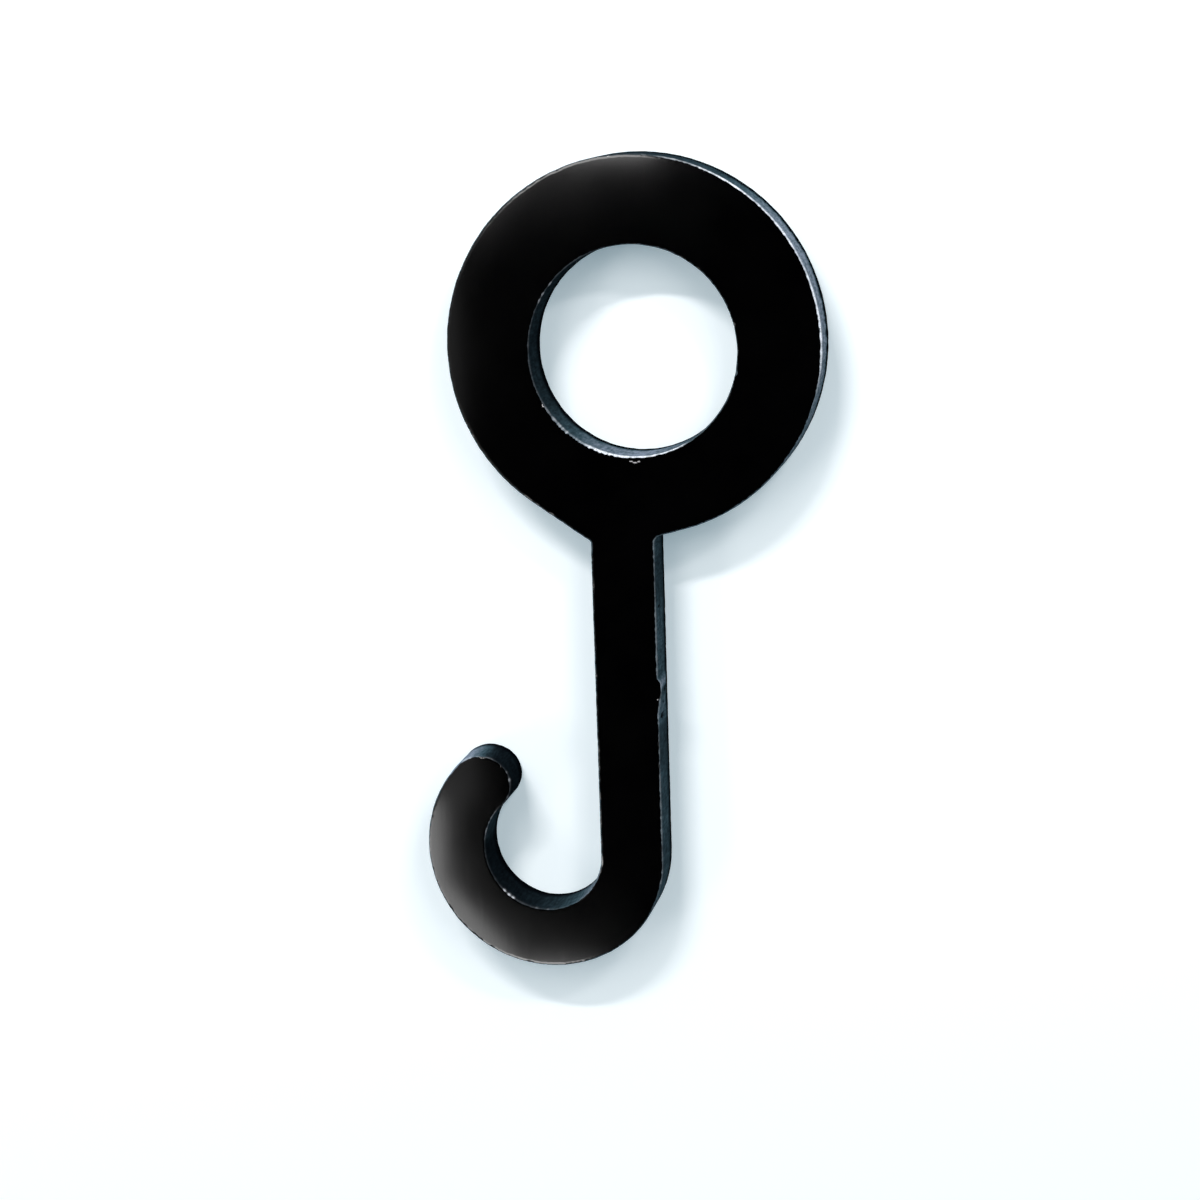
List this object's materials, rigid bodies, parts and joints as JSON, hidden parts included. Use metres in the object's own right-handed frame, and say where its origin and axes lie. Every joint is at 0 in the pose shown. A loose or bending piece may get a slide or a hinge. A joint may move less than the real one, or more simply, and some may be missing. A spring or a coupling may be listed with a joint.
{
  "type": "conduit hook",
  "caption": "Flat plate hook with a round eye that slides onto conduit and a J-shaped hook below it for hanging cables, tools or lines.",
  "frame": {"origin": "centre of the eye's bore, halfway through the plate", "axes": "XY is the plate; +Z out of the upper face, the one with the cutter's lead-in mark; +Y from the J towards the eye; the J's tip is on the -X side"},
  "size_m": [0.051, 0.1012, 0.0064],
  "materials": {
    "black_plate": "satin black sheet, cut walls dull and scuffed blue-grey, edges broken"
  },
  "bodies": {
    "root": {"conduit_hook": "black_plate"}
  },
  "joints": []
}
